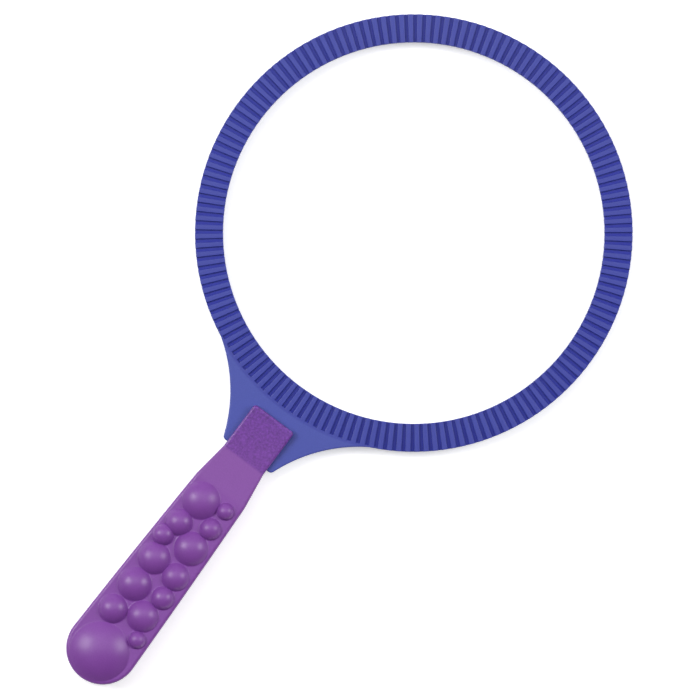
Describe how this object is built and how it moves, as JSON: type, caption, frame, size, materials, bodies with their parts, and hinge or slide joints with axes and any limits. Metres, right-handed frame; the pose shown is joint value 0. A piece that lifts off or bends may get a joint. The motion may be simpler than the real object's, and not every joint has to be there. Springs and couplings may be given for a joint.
{
  "type": "bubble wand",
  "caption": "Large flat bubble wand: a ribbed round hoop with a flared yoke that plugs into the forked head of a hollow handle with raised round domes on its grip",
  "frame": {"origin": "centre of the bounding box in plan, on the plane of the grip's back face, which lies on the table", "axes": "+Y along the handle towards the hoop, +Z out of the front face with the domes, +X to the right seen from the front with the hoop up"},
  "size_m": [0.2286, 0.404, 0.0198],
  "materials": {
    "hoop_plastic": "satin moulded polypropylene, blue",
    "handle_plastic": "satin moulded polypropylene, purple"
  },
  "bodies": {
    "handle": {"handle_front": "handle_plastic", "handle_rear": "handle_plastic"},
    "hoop": {"hoop": "hoop_plastic"}
  },
  "joints": [
    {"name": "hoop_pull", "type": "slide", "parent": "handle", "child": "hoop", "axis": [0, 1, 0], "range_m": [0, 0.03]}
  ]
}
